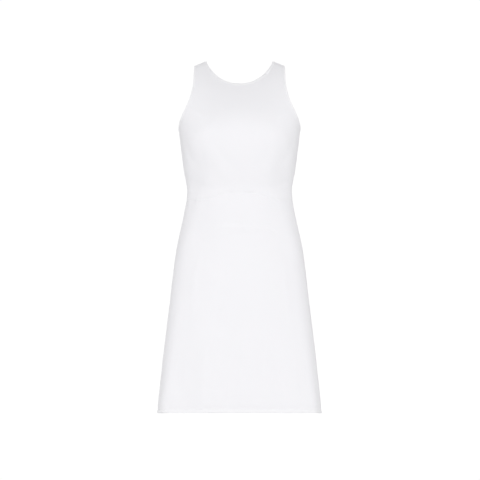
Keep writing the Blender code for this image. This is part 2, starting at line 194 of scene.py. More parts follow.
# %% [markdown]
# ## The figure that the dress is cut for
# A pattern cutter works from a dress form, which is a stack of measured rounds. Here each row of a table is
# one round: its height, half its width, its depth in front and behind, and how square it is. A smooth
# spline joins the rows. The whole outer surface is then one function of two numbers. angle runs from the
# wearer's left side seam to the right one. fall is the square root of the depth below the shoulder tops,
# counted negative on the back, so that the cloth passes smoothly over the shoulders.

# %% Rounds of the dress form
Section = namedtuple("Section", "height half_width front_depth back_depth squareness")
SECTIONS = (
    Section(0.0000, 0.1720, 0.0000, 0.0000, 2.20),
    Section(-0.0150, 0.1705, 0.0290, 0.0310, 2.20),
    Section(-0.0550, 0.1665, 0.0640, 0.0680, 2.20),
    Section(-0.0950, 0.1600, 0.0905, 0.0870, 2.20),
    Section(-0.1300, 0.1550, 0.1095, 0.0950, 2.22),
    Section(-0.1690, 0.1491, 0.1205, 0.0985, 2.25),
    Section(-0.1985, 0.1453, 0.1210, 0.0975, 2.25),
    Section(-0.2426, 0.1400, 0.1125, 0.0930, 2.22),
    Section(-0.2867, 0.1330, 0.0990, 0.0850, 2.18),
    Section(-0.3161, 0.1285, 0.0905, 0.0805, 2.15),
    Section(-0.3308, 0.1289, 0.0890, 0.0810, 2.15),
    Section(-0.3700, 0.1350, 0.0930, 0.0890, 2.18),
    Section(-0.4141, 0.1446, 0.1005, 0.1005, 2.22),
    Section(-0.4582, 0.1540, 0.1065, 0.1105, 2.30),
    Section(-0.5170, 0.1622, 0.1110, 0.1170, 2.40),
    Section(-0.6052, 0.1727, 0.1140, 0.1205, 2.55),
    Section(-0.6934, 0.1835, 0.1160, 0.1215, 2.65),
    Section(-0.7816, 0.1936, 0.1180, 0.1225, 2.72),
    Section(-0.8624, 0.2022, 0.1200, 0.1240, 2.80),
)
HEM_HEIGHT = SECTIONS[-1].height
BUST_HEIGHT = -0.1985
ROUND_SAMPLES = 200
SHOULDER_SLOPE = 0.47
SLOPE_FROM = 0.084
SLOPE_BLEND = 0.008
SLOPE_ENDS = -0.120
SMALL = 1e-4


def spline(knots, values):
    """A natural cubic spline through the rows of a table, as a function."""
    knots = np.asarray(knots, float)
    values = np.asarray(values, float)
    step = np.diff(knots)
    slope = np.diff(values) / step
    system = np.eye(len(knots))
    change = np.zeros(len(knots))
    for row in range(1, len(knots) - 1):
        system[row, row - 1] = step[row - 1]
        system[row, row] = 2 * (step[row - 1] + step[row])
        system[row, row + 1] = step[row]
        change[row] = 6 * (slope[row] - slope[row - 1])
    bend = np.linalg.solve(system, change)

    def value_at(place):
        left = np.clip(np.searchsorted(knots, place) - 1, 0, len(step) - 1)
        gone = place - knots[left]
        start = slope[left] - step[left] * (2 * bend[left] + bend[left + 1]) / 6
        twist = (bend[left + 1] - bend[left]) / (6 * step[left])
        return values[left] + gone * (start + gone * (bend[left] / 2 + gone * twist))

    return value_at


FALLS = [math.sqrt(-section.height) for section in SECTIONS]
half_width_at = spline(FALLS, [section.half_width for section in SECTIONS])
front_depth_at = spline(FALLS, [section.front_depth for section in SECTIONS])
back_depth_at = spline(FALLS, [section.back_depth for section in SECTIONS])
squareness_at = spline(FALLS, [section.squareness for section in SECTIONS])


def smooth_step(value, start, end):
    """From 0 to 1 between start and end, without a corner."""
    share = np.clip((value - start) / (end - start), 0, 1)
    return share * share * (3 - 2 * share)


def shoulder_drop(x, height):
    """How far the sloping shoulder lowers the surface at x."""
    out = np.abs(x) - SLOPE_FROM
    slope = SHOULDER_SLOPE * (np.sqrt(out**2 + SLOPE_BLEND**2) + out) / 2
    return slope * (1 - smooth_step(-height, 0, -SLOPE_ENDS))


def surface(angle, fall):
    """Points of the dress's outer surface, before its flares and folds."""
    angle, fall = np.broadcast_arrays(np.asarray(angle, float), np.asarray(fall, float))
    down = np.abs(fall)
    power = squareness_at(down)
    size = (np.abs(np.cos(angle)) ** power + np.abs(np.sin(angle)) ** power) ** (1 / power)
    depth = np.where(fall >= 0, front_depth_at(down), -back_depth_at(down))
    x = half_width_at(down) * np.cos(angle) / size
    y = -depth * np.sin(angle) / size
    z = -(fall**2) - shoulder_drop(x, -(fall**2))
    return np.stack([x, y, z], axis=-1)


def slopes(angle, fall):
    """How the surface point moves for a unit of angle and a unit of fall."""
    by_angle = (surface(angle + SMALL, fall) - surface(angle - SMALL, fall)) / (2 * SMALL)
    by_fall = (surface(angle, fall + SMALL) - surface(angle, fall - SMALL)) / (2 * SMALL)
    return by_angle, by_fall


def outward(places):
    """The surface's unit normal at each (angle, fall)."""
    normal = np.cross(*slopes(places[..., 0], places[..., 1]))
    return normal / np.linalg.norm(normal, axis=-1, keepdims=True)


bust = 0.0
for side in (1, -1):
    half = surface(np.linspace(0, math.pi, ROUND_SAMPLES), side * math.sqrt(-BUST_HEIGHT))
    bust += float(np.linalg.norm(np.diff(half, axis=0), axis=1).sum())
print("bust round, m:", round(bust, 3))

# %% [markdown]
# ## A tape measure along the cloth
# Folds and knitting have to be placed in distances along the cloth, not in angles. Two tables, one for the
# front and one for the back, hold how far each spot lies from the middle line and how far down from the
# shoulder. Looking a spot up in them is a tape measure. It also unrolls the cloth, which gives the panels
# their UV maps in metres, so a knitted loop is the same size everywhere.

# %% Distances along the cloth
TAPE_ANGLES = np.linspace(0, math.pi, 241)
TAPE_FALLS = np.linspace(0, FALLS[-1], 161)
MIDDLE = len(TAPE_ANGLES) // 2
FRONT, BACK = 1, -1


def tape(side):
    """Distance to the wearer's left of the middle line, and distance down from the shoulder."""
    points = surface(TAPE_ANGLES[None, :], side * TAPE_FALLS[:, None])
    over = np.cumsum(np.linalg.norm(np.diff(points, axis=1), axis=2), axis=1)
    over = np.pad(over, ((0, 0), (1, 0)))
    down = np.cumsum(np.linalg.norm(np.diff(points, axis=0), axis=2), axis=0)
    down = np.pad(down, ((1, 0), (0, 0)))
    return over[:, MIDDLE : MIDDLE + 1] - over, down


TAPES = {side: tape(side) for side in (FRONT, BACK)}


def looked_up(table, places):
    """Reads a table of the tape at each (angle, fall), smoothly between its entries."""
    row = np.abs(places[..., 1]) / TAPE_FALLS[-1] * (len(TAPE_FALLS) - 1)
    column = places[..., 0] / math.pi * (len(TAPE_ANGLES) - 1)
    top = np.clip(row.astype(int), 0, len(TAPE_FALLS) - 2)
    left = np.clip(column.astype(int), 0, len(TAPE_ANGLES) - 2)
    lower, right = row - top, column - left
    first = table[top, left] * (1 - right) + table[top, left + 1] * right
    second = table[top + 1, left] * (1 - right) + table[top + 1, left + 1] * right
    return first * (1 - lower) + second * lower


def measured(column, places):
    """Reads one column of the front's tape for places on the front, and of the back's for the others."""
    front, back = (looked_up(TAPES[side][column], places) for side in (FRONT, BACK))
    return np.where(places[..., 1] >= 0, front, back)


def from_middle(places):
    """Distance to the wearer's left of the nearer middle line, in front or behind."""
    return measured(0, places)


def down_cloth(places):
    """Distance along the cloth from the shoulder."""
    return measured(1, places)


def at_seam(places):
    """The spots of the left side seam that are level with some places."""
    return np.stack([np.zeros_like(places[..., 1]), places[..., 1]], axis=-1)


def across(places, side):
    """Distance from the middle line of one side, also for places that lie round on the other side."""
    own, seam = from_middle(places), at_seam(places)
    both = looked_up(TAPES[FRONT][0], seam) + looked_up(TAPES[BACK][0], seam)
    round_the_back = np.where(own >= 0, both - own, -both - own)
    return np.where(side * places[..., 1] >= 0, own, round_the_back)


def to_side_seam(places):
    """Distance along the cloth to the nearer side seam."""
    return from_middle(at_seam(places)) - np.abs(from_middle(places))


print("hem, m:", {side: round(2 * float(TAPES[side][0][-1, 0]), 3) for side in (FRONT, BACK)})

# %% [markdown]
# ## Necklines, armholes and the waist seam
# These are the lines that a cutter marks on the cloth. Each scoop of the neck is a rounded curve between
# its width and its depth. The armhole runs through a few marked points. The waist seam climbs a little
# towards the centre front.

# %% Lines marked on the cloth
Scoop = namedtuple("Scoop", "half_width depth across down")
FRONT_NECK = Scoop(0.0805, 0.0546, 2.2, 1.3)
BACK_NECK = Scoop(0.0805, 0.1020, 2.3, 1.6)
EdgePoint = namedtuple("EdgePoint", "x height")
SHOULDER_X = 0.1108
FRONT_ARMHOLE = (
    EdgePoint(0.1128, -0.0368),
    EdgePoint(0.1177, -0.0735),
    EdgePoint(0.1249, -0.0960),
    EdgePoint(0.1382, -0.1250),
    EdgePoint(0.1484, -0.1544),
)
BACK_ARMHOLE = (
    EdgePoint(0.1050, -0.0440),
    EdgePoint(0.0955, -0.0830),
    EdgePoint(0.0925, -0.1150),
    EdgePoint(0.1010, -0.1420),
    EdgePoint(0.1250, -0.1640),
)
UNDERARM_HEIGHT = -0.1655
WAIST_SIDE_HEIGHT = -0.3406
WAIST_FRONT_RISE = 0.0176
WAIST_RISE_INNER = 0.028
WAIST_RISE_OUTER = 0.098
WAIST_BACK_DIP = 0.003
HEIGHT_PASSES = 40
EDGE_SAMPLES = 481

Division = namedtuple("Division", "underarm armhole_strap neck_strap")
FRONT_DIVISION = Division(-0.100, -0.046, -0.036)
BACK_DIVISION = Division(-0.150, -0.088, -0.078)
UNDERARM_COLUMNS = 36
STRAP_COLUMNS = 14
NECK_COLUMNS = 72
BODICE_ROWS = 52
CHEST_ROWS = 24
STRAP_ROWS = 36
CHEST_COLUMNS = 2 * STRAP_COLUMNS + NECK_COLUMNS
PANEL_COLUMNS = 2 * UNDERARM_COLUMNS + CHEST_COLUMNS


def seen_from_front(x, height, side):
    """(angle, fall) of the surface point that a front view shows at x and height."""
    level = height
    for _ in range(HEIGHT_PASSES):
        level = min(height + float(shoulder_drop(x, level)), 0.0)
    down = math.sqrt(-level)
    power = float(squareness_at(down))
    over = x / float(half_width_at(down))
    forward = (1 - abs(over) ** power) ** (1 / power)
    return math.atan2(forward, over), side * down


def waist_fall(angle, side):
    """fall of the waist seam at an angle on the front or the back."""
    x = np.abs(surface(angle, np.full(len(angle), math.sqrt(-WAIST_SIDE_HEIGHT)))[:, 0])
    middle = 1 - smooth_step(x, WAIST_RISE_INNER, WAIST_RISE_OUTER)
    height = WAIST_SIDE_HEIGHT + middle * (WAIST_FRONT_RISE if side > 0 else -WAIST_BACK_DIP)
    return side * np.sqrt(-height)


def evenly(edge, count):
    """count + 1 places along an edge of (angle, fall), evenly spaced along the cloth."""
    points = surface(edge[:, 0], edge[:, 1])
    run = np.concatenate([[0], np.cumsum(np.linalg.norm(np.diff(points, axis=0), axis=1))])
    places = np.linspace(0, run[-1], count + 1)
    return np.stack([np.interp(places, run, edge[:, 0]), np.interp(places, run, edge[:, 1])], axis=1)


def in_portions(edge, levels, counts):
    """Places along an edge. It is cut at the given levels, and each portion is divided by its own count."""
    places = [edge[:1]]
    start = 0
    for level, count in zip([*levels, None], counts):
        if level is None:
            stop = len(edge) - 1
        else:
            passed = np.sign(edge[:, 1] ** 2 + level)
            stop = int(np.argmax(passed != passed[0]))
        places.append(evenly(edge[start : stop + 1], count)[1:])
        start = stop
    return np.concatenate(places)


def mirrored(places):
    """The same places on the wearer's right."""
    return np.stack([math.pi - places[..., 0], places[..., 1]], axis=-1)


def neck_edge(side):
    """From the left shoulder to the right one, over the front or the back."""
    scoop, division = (FRONT_NECK, FRONT_DIVISION) if side > 0 else (BACK_NECK, BACK_DIVISION)
    edge = []
    for turn in np.linspace(0, math.pi / 2, EDGE_SAMPLES):
        x = scoop.half_width * math.cos(turn) ** (2 / scoop.across)
        depth = scoop.depth * math.sin(turn) ** (2 / scoop.down)
        edge.append(seen_from_front(x, -depth - float(shoulder_drop(x, 0)), side))
    edge = np.array(edge)
    edge[0, 1] = 0
    edge[-1, 0] = math.pi / 2
    half = in_portions(edge, [division.neck_strap], [STRAP_ROWS, NECK_COLUMNS // 2])
    return np.concatenate([half, mirrored(half)[::-1][1:]])


def armhole_halves():
    """The left armhole's edge from the underarm up to the shoulder, over the front and over the back."""
    rows = [(0.0, math.sqrt(-UNDERARM_HEIGHT))]
    rows += [seen_from_front(row.x, row.height, FRONT) for row in reversed(FRONT_ARMHOLE)]
    shoulder = (seen_from_front(SHOULDER_X, -float(shoulder_drop(SHOULDER_X, 0)), FRONT)[0], 0.0)
    rows.append(shoulder)
    rows += [seen_from_front(row.x, row.height, BACK) for row in BACK_ARMHOLE]
    rows.append((0.0, -math.sqrt(-UNDERARM_HEIGHT)))
    # Past each end the edge goes on as its own reflection in the side seam
    rows = np.array([(-rows[1][0], rows[1][1]), *rows, (-rows[-2][0], rows[-2][1])])
    points = surface(rows[:, 0], rows[:, 1])
    run = np.concatenate([[0], np.cumsum(np.linalg.norm(np.diff(points, axis=0), axis=1))])
    angle_at, fall_at = spline(run, rows[:, 0]), spline(run, rows[:, 1])
    shoulder_run = run[len(FRONT_ARMHOLE) + 2]
    halves = []
    for start, division in ((run[1], FRONT_DIVISION), (run[-2], BACK_DIVISION)):
        places = np.linspace(start, shoulder_run, EDGE_SAMPLES)
        edge = np.stack([angle_at(places), fall_at(places)], axis=1)
        edge[0, 0] = 0
        edge[-1] = shoulder
        levels = [division.underarm, division.armhole_strap]
        halves.append(in_portions(edge, levels, [UNDERARM_COLUMNS, CHEST_ROWS, STRAP_ROWS]))
    return halves


def steps_away(ring):
    """For each point of a ring: a step in (angle, fall) for each metre away from the opening."""
    points = surface(ring[:, 0], ring[:, 1])
    along = np.roll(points, -1, axis=0) - np.roll(points, 1, axis=0)
    away = np.cross(outward(ring), along)
    away /= np.linalg.norm(away, axis=1, keepdims=True)
    by_angle, by_fall = slopes(ring[:, 0], ring[:, 1])
    steps = []
    for row, towards in enumerate(away):
        axes = np.stack([by_angle[row], by_fall[row]], axis=1)
        steps.append(np.linalg.lstsq(axes, towards, rcond=None)[0])
    # A point on the shoulder seam or on the side seam stays on it
    return np.array(steps) * (ring != 0)


def moved_in(ring, distance):
    """The ring moved along the cloth, away from its opening."""
    return ring + distance * steps_away(ring)


neck_ring = np.concatenate([neck_edge(FRONT)[:-1], neck_edge(BACK)[::-1][:-1]])
front_half, back_half = armhole_halves()
armhole_ring = np.concatenate([front_half[:-1], back_half[::-1][:-1]])


def length_round(ring):
    """How long a closed edge is, along the cloth."""
    points = surface(ring[:, 0], ring[:, 1])
    return float(np.linalg.norm(points - np.roll(points, 1, axis=0), axis=1).sum())


for name, ring in (("neck", neck_ring), ("armhole", armhole_ring)):
    print(name, "round, m:", round(length_round(ring), 3))

# %% [markdown]
# ## Flares, fullness and creases
# The skirt is cut wider at the hem than at the hips, so it falls in soft flares. The bodice is fuller at
# the bust. Over these broad forms lie creases, where the cloth is drawn from the bust towards the waist,
# and small waves along each seam, where the thread is tighter than the knit. All of them are listed in
# tables, in metres as seen from the front or from behind, and each pushes the cloth a little out or in. A
# table puts each in a chosen place: in front where the
# shading hints at one, and behind, where nothing is seen, at a likely place for a similar one.

# %% Tables of flares, fullness and creases
Flare = namedtuple("Flare", "turn drift top rise spread")
FLARES = (
    Flare(8.0, 6.0, -0.470, 0.0040, 10.0),
    Flare(-22.0, -3.0, -0.580, 0.0030, 9.0),
    Flare(55.0, 5.0, -0.500, 0.0050, 10.0),
    Flare(-57.0, -5.0, -0.520, 0.0045, 10.0),
    Flare(-7.0, 1.0, -0.600, -0.0025, 8.0),
    Flare(29.0, 4.0, -0.520, -0.0040, 11.0),
    Flare(-40.0, -3.0, -0.560, -0.0035, 9.0),
    Flare(104.0, 3.0, -0.560, -0.0035, 10.0),
    Flare(128.0, 3.0, -0.480, 0.0050, 11.0),
    Flare(150.0, 2.0, -0.580, -0.0040, 10.0),
    Flare(172.0, -4.0, -0.500, 0.0045, 11.0),
    Flare(196.0, 2.0, -0.600, -0.0035, 10.0),
    Flare(221.0, -4.0, -0.520, 0.0045, 12.0),
    Flare(247.0, -2.0, -0.560, -0.0040, 10.0),
)

# Broad fullness: its middle, how far it reaches sideways and up, and how far it stands out
Swell = namedtuple("Swell", "side x height wide tall rise")
SWELLS = (
    Swell(FRONT, 0.100, -0.186, 0.040, 0.034, 0.0048),
    Swell(FRONT, -0.100, -0.186, 0.040, 0.034, 0.0048),
    Swell(FRONT, 0.000, -0.186, 0.022, 0.036, -0.0022),
    Swell(FRONT, 0.108, -0.302, 0.030, 0.046, -0.0032),
    Swell(FRONT, -0.108, -0.302, 0.030, 0.046, -0.0032),
    Swell(FRONT, 0.010, -0.366, 0.060, 0.026, 0.0018),
    Swell(FRONT, 0.126, -0.440, 0.034, 0.056, 0.0044),
    Swell(FRONT, -0.126, -0.440, 0.034, 0.056, 0.0044),
    Swell(BACK, 0.070, -0.190, 0.034, 0.048, 0.0024),
    Swell(BACK, -0.072, -0.186, 0.034, 0.048, 0.0024),
    Swell(BACK, 0.000, -0.230, 0.016, 0.090, -0.0024),
    Swell(BACK, 0.066, -0.440, 0.052, 0.052, 0.0026),
    Swell(BACK, -0.066, -0.444, 0.052, 0.052, 0.0026),
)

# Creases: both ends, how far the middle bows to one side, the half width, and how far it stands out or in
Crease = namedtuple("Crease", "side x1 height1 x2 height2 bow width rise")
CREASES = (
    Crease(FRONT, -0.085, -0.157, 0.026, -0.316, 0.010, 0.010, -0.0007),
    Crease(FRONT, -0.098, -0.186, 0.000, -0.318, 0.012, 0.011, 0.0007),
    Crease(FRONT, -0.072, -0.194, 0.048, -0.312, 0.008, 0.009, -0.0006),
    Crease(FRONT, 0.076, -0.205, 0.020, -0.275, -0.006, 0.010, -0.0008),
    Crease(FRONT, 0.098, -0.200, 0.046, -0.306, -0.010, 0.011, 0.0007),
    Crease(FRONT, 0.128, -0.186, 0.092, -0.262, -0.006, 0.007, -0.0012),
    Crease(FRONT, -0.131, -0.190, -0.098, -0.268, 0.006, 0.007, -0.0012),
    Crease(FRONT, -0.122, -0.296, -0.062, -0.316, 0.003, 0.006, -0.0012),
    Crease(FRONT, -0.124, -0.316, -0.070, -0.326, 0.002, 0.005, -0.0010),
    Crease(FRONT, 0.121, -0.290, 0.068, -0.314, -0.003, 0.006, -0.0012),
    Crease(FRONT, 0.126, -0.312, 0.080, -0.328, -0.002, 0.005, -0.0010),
    Crease(FRONT, -0.118, -0.112, -0.084, -0.134, 0.003, 0.006, 0.0012),
    Crease(FRONT, 0.117, -0.114, 0.086, -0.138, -0.003, 0.006, 0.0012),
    Crease(FRONT, -0.044, -0.405, 0.040, -0.409, 0.003, 0.006, -0.0026),
    Crease(FRONT, 0.030, -0.406, 0.102, -0.428, 0.002, 0.008, -0.0012),
    Crease(FRONT, -0.104, -0.392, -0.052, -0.412, 0.004, 0.008, -0.0011),
    Crease(FRONT, -0.127, -0.364, -0.092, -0.374, 0.002, 0.006, -0.0010),
    Crease(FRONT, 0.128, -0.368, 0.090, -0.380, 0.002, 0.006, -0.0010),
    Crease(FRONT, -0.098, -0.452, -0.116, -0.640, 0.006, 0.012, 0.0015),
    Crease(FRONT, 0.098, -0.470, 0.126, -0.660, -0.006, 0.012, 0.0015),
    Crease(FRONT, -0.032, -0.470, -0.058, -0.700, 0.005, 0.011, -0.0013),
    Crease(FRONT, 0.070, -0.640, 0.090, -0.840, 0.004, 0.012, 0.0014),
    Crease(FRONT, -0.085, -0.690, -0.092, -0.850, 0.003, 0.011, 0.0013),
    Crease(FRONT, -0.140, -0.700, -0.150, -0.845, 0.003, 0.010, -0.0013),
    Crease(FRONT, 0.150, -0.690, 0.162, -0.840, 0.003, 0.010, -0.0013),
    Crease(BACK, 0.086, -0.150, 0.070, -0.290, 0.006, 0.010, -0.0015),
    Crease(BACK, -0.088, -0.156, -0.066, -0.284, -0.006, 0.010, -0.0015),
    Crease(BACK, 0.052, -0.160, 0.016, -0.300, 0.006, 0.009, 0.0012),
    Crease(BACK, -0.050, -0.168, -0.020, -0.292, -0.006, 0.009, 0.0012),
    Crease(BACK, -0.124, -0.276, 0.006, -0.318, 0.006, 0.008, -0.0018),
    Crease(BACK, 0.122, -0.262, -0.008, -0.300, -0.006, 0.008, -0.0018),
    Crease(BACK, -0.118, -0.304, -0.040, -0.330, 0.003, 0.007, -0.0014),
    Crease(BACK, 0.119, -0.300, 0.036, -0.326, -0.003, 0.007, -0.0014),
    Crease(BACK, -0.060, -0.362, 0.050, -0.366, 0.004, 0.008, -0.0018),
    Crease(BACK, -0.116, -0.372, -0.048, -0.392, 0.003, 0.007, -0.0012),
    Crease(BACK, 0.112, -0.370, 0.040, -0.386, -0.003, 0.007, -0.0012),
    Crease(BACK, 0.040, -0.500, 0.052, -0.720, 0.006, 0.012, -0.0014),
    Crease(BACK, -0.046, -0.520, -0.062, -0.760, -0.006, 0.012, -0.0014),
    Crease(BACK, 0.118, -0.560, 0.134, -0.780, 0.005, 0.012, 0.0014),
    Crease(BACK, -0.122, -0.580, -0.140, -0.800, -0.005, 0.012, 0.0014),
    Crease(BACK, 0.004, -0.600, 0.010, -0.842, 0.004, 0.011, 0.0012),
)
CREASE_SAMPLES = 32
CREASE_ENDS = 0.7
CREASE_REACH = 3

# Seams: how far the cloth turns in at them, over what distance, and the waves beside them
SEAM_DIP = 0.0005
SEAM_REACH = 0.0022
PUCKER_RISE = 0.00028
PUCKER_REACH = 0.011
PUCKER_WAVES = ((0.0125, 0.4), (0.0185, 2.1), (0.0310, 4.4))
WAVE_STARTS = {"side": 0.0, "waist": 1.3, "shoulder": 2.9, "hem": 4.0}
LAY_WAVES = 18
LAY_SEED = 11
LAY_RISE = 0.00020
LAY_SHORTEST = 0.030
LAY_LONGEST = 0.090

# The hem: it is turned up once, and its stitches draw the cloth in just above the fold
HEM_TURN = 0.009
HEM_DRAWN_IN = 0.0009
HEM_DRAWN_REACH = 0.0075


def above_hem(places):
    """Height above the hem's edge."""
    return -HEM_HEIGHT - places[..., 1] ** 2


def flare_rise(places):
    """How far the flares move the skirt's cloth out."""
    angle, fall = np.degrees(places[..., 0]), places[..., 1]
    turn = np.where(fall >= 0, 90 - angle, 90 + angle)
    height = -(fall**2)
    rise = np.zeros(turn.shape)
    for flare in FLARES:
        grown = np.clip((height - flare.top) / (HEM_HEIGHT - flare.top), 0, 1)
        off = (turn - flare.turn + flare.drift * (1 - grown) + 180) % 360 - 180
        rise += flare.rise * smooth_step(grown, 0, 1) * np.exp(-((off / flare.spread) ** 2))
    return rise


def on_tape(x, height, side):
    """Where a spot seen from the front or from behind lies on the tape measure."""
    place = np.array([seen_from_front(x, height, side)])
    return float(across(place, side)[0]), float(down_cloth(place)[0])


def fullness(places):
    """How far the broad swells move the cloth out."""
    rise = np.zeros(places.shape[:-1])
    down = down_cloth(places)
    for swell in SWELLS:
        over, low = on_tape(swell.x, swell.height, swell.side)
        off = ((across(places, swell.side) - over) / swell.wide) ** 2 + ((down - low) / swell.tall) ** 2
        rise += swell.rise * np.exp(-off)
    return rise


def crease_rise(places):
    """How far the creases move the cloth out or in."""
    rise = np.zeros(places.shape[:-1])
    down = down_cloth(places)
    over = {side: across(places, side) for side in (FRONT, BACK)}
    share = np.linspace(0, 1, CREASE_SAMPLES)
    for crease in CREASES:
        start = np.array(on_tape(crease.x1, crease.height1, crease.side))
        end = np.array(on_tape(crease.x2, crease.height2, crease.side))
        run = end - start
        aside = np.array([-run[1], run[0]]) / np.linalg.norm(run)
        bow = 4 * share * (1 - share) * crease.bow
        line = start + share[:, None] * run + bow[:, None] * aside
        reach = CREASE_REACH * crease.width
        low, high = line.min(axis=0) - reach, line.max(axis=0) + reach
        here = over[crease.side]
        near = (here > low[0]) & (here < high[0]) & (down > low[1]) & (down < high[1])
        spots = np.stack([here[near], down[near]], axis=1)
        pieces = np.diff(line, axis=0)
        from_start = spots[:, None, :] - line[None, :-1, :]
        gone = np.clip((from_start * pieces).sum(axis=2) / (pieces**2).sum(axis=1), 0, 1)
        gap = np.linalg.norm(from_start - gone[..., None] * pieces, axis=2)
        nearest = gap.argmin(axis=1)
        row = np.arange(len(spots))
        along = (nearest + gone[row, nearest]) / (CREASE_SAMPLES - 1)
        fade = np.sin(math.pi * along) ** CREASE_ENDS
        rise[near] += crease.rise * fade * np.exp(-((gap[row, nearest] / crease.width) ** 2))
    return rise


def to_waist_seam(places):
    """Distance along the cloth to the waist seam."""
    flat = places.reshape(-1, 2)
    side = np.where(flat[:, 1] >= 0, FRONT, BACK)
    seam = np.empty(len(flat))
    for value in (FRONT, BACK):
        chosen = side == value
        seam[chosen] = waist_fall(flat[chosen, 0], value)
    on_seam = np.stack([flat[:, 0], seam], axis=1)
    return np.abs(down_cloth(flat) - down_cloth(on_seam)).reshape(places.shape[:-1])


def waves(along, seed):
    """Small waves along a seam, uneven in length, between -1 and 1."""
    height = sum(np.sin(2 * math.pi * along / length + start + seed) for length, start in PUCKER_WAVES)
    return height / len(PUCKER_WAVES)


def lay(base):
    """Many wide, shallow waves that run all ways, because a knit never hangs quite smooth."""
    draw = np.random.default_rng(LAY_SEED)
    rise = np.zeros(base.shape[:-1])
    for _ in range(LAY_WAVES):
        heading = draw.normal(size=3)
        heading /= np.linalg.norm(heading)
        length, start = draw.uniform(LAY_SHORTEST, LAY_LONGEST), draw.uniform(0, 2 * math.pi)
        rise += np.sin(2 * math.pi * (base @ heading) / length + start)
    return LAY_RISE * rise / math.sqrt(LAY_WAVES)


def seam_rise(places):
    """The dip at each seam, and the waves that its stitches draw beside it."""
    side, waist, shoulder = to_side_seam(places), to_waist_seam(places), down_cloth(places)
    over = from_middle(places)
    rise = np.zeros(side.shape)
    beside = ((side, shoulder, "side"), (waist, over, "waist"), (shoulder, over, "shoulder"))
    for away, along, seam in beside:
        rise -= SEAM_DIP * np.exp(-((away / SEAM_REACH) ** 2))
        rise += PUCKER_RISE * waves(along, WAVE_STARTS[seam]) * np.exp(-((away / PUCKER_REACH) ** 2))
    above = above_hem(places) - HEM_TURN
    reach = np.where(above >= 0, HEM_DRAWN_REACH, HEM_TURN / 2)
    drawn = np.exp(-((above / reach) ** 2))
    return rise - drawn * (HEM_DRAWN_IN - PUCKER_RISE * waves(over, WAVE_STARTS["hem"]))


def cloth(places, lift=0.0):
    """Points of the finished cloth at each (angle, fall), lifted off it by a distance."""
    base = surface(places[..., 0], places[..., 1])
    rise = flare_rise(places) + fullness(places) + crease_rise(places) + seam_rise(places) + lay(base)
    return base + (rise + lift)[..., None] * outward(places)


print(len(FLARES), "flares,", len(SWELLS), "swells,", len(CREASES), "creases")

# %% [markdown]
# ## Knit
# The cloth is a smooth knit. Seen close, its face is columns of small V-shaped loops, called wales, and
# across them run the rows, called courses. The pattern is a formula on the UV map, which is in metres: the
# distance from the edge of a wale gives the two legs of each V, and it also slants the courses. The height
# feeds a Bump node. A real loop is under a millimetre, so from a step away it only softens the light. Where
# cloth lies double, less light passes through it and it looks whiter: a touch in the hem, and more in the
# bands. Where it is double is stored on the mesh as an attribute of that name.

# %% Knit material
WALE = 0.0009
COURSE = 0.0007
LEG_SLANT = 1.5
LOOP_SHARE = 0.35
KNIT_DEPTH = 0.00004
KNIT_STRENGTH = 0.4
PANEL_COLOUR = (0.905, 0.900, 0.925, 1.0)
BAND_COLOUR = (0.940, 0.937, 0.955, 1.0)
HEM_COLOUR = (0.914, 0.911, 0.930, 1.0)
SHADE_COLOUR = (0.865, 0.862, 0.893, 1.0)
CLOUD_SCALE = 14.0
CLOUD_DETAIL = 3.0
CLOUD_FROM = 0.35
CLOUD_CONTRAST = 2.5
CLOUD_SHARE = 0.15
FABRIC_ROUGHNESS = 0.72
FABRIC_SHEEN = 0.25
SHEEN_ROUGHNESS = 0.45
FABRIC_SPECULAR = 0.3


def knit(name, plain, double):
    """A fine knit, plain where the cloth is single and another shade where it is double."""
    material = bpy.data.materials.new(name)
    material.use_nodes = True
    shader = material.node_tree.nodes["Principled BSDF"]
    shader.inputs["Roughness"].default_value = FABRIC_ROUGHNESS
    shader.inputs["Sheen Weight"].default_value = FABRIC_SHEEN
    shader.inputs["Sheen Roughness"].default_value = SHEEN_ROUGHNESS
    shader.inputs["Specular IOR Level"].default_value = FABRIC_SPECULAR
    tree = Wire(material.node_tree)
    unrolled = tree.add("ShaderNodeUVMap", {"uv_map": "cloth"})
    over = tree.add("ShaderNodeSeparateXYZ", {}, {"Vector": unrolled}, "X")
    down = tree.add("ShaderNodeSeparateXYZ", {}, {"Vector": unrolled}, "Y")
    from_edge = (over / WALE).maths("PINGPONG", 0.5)
    leg = (from_edge * (2 * math.pi)).maths("SINE")
    loop = ((down / COURSE + from_edge * LEG_SLANT) * (2 * math.pi)).maths("SINE")
    height = leg * ((1 - LOOP_SHARE) + loop * LOOP_SHARE)
    relief = {"Strength": KNIT_STRENGTH, "Distance": KNIT_DEPTH, "Height": height}
    bump = tree.add("ShaderNodeBump", {}, relief)
    bump.to(shader.inputs["Normal"])
    spot = tree.add("ShaderNodeTexCoord", output="Object")
    clouds = {"Vector": spot, "Scale": CLOUD_SCALE, "Detail": CLOUD_DETAIL}
    cloud = tree.add("ShaderNodeTexNoise", {}, clouds, "Fac")
    shaded = ((cloud - CLOUD_FROM) * CLOUD_CONTRAST).clamped() * CLOUD_SHARE
    mixing = {"data_type": "RGBA"}
    single = tree.add("ShaderNodeMix", mixing, {0: shaded, 6: plain, 7: SHADE_COLOUR}, 2)
    layers = tree.add("ShaderNodeAttribute", {"attribute_name": "double"}, output="Fac")
    coloured = tree.add("ShaderNodeMix", mixing, {0: layers.clamped(), 6: single, 7: double}, 2)
    coloured.to(shader.inputs["Base Color"])
    return material


panel_knit = knit("panel_knit", PANEL_COLOUR, HEM_COLOUR)
band_knit = knit("band_knit", BAND_COLOUR, BAND_COLOUR)
print("materials:", panel_knit.name, band_knit.name)

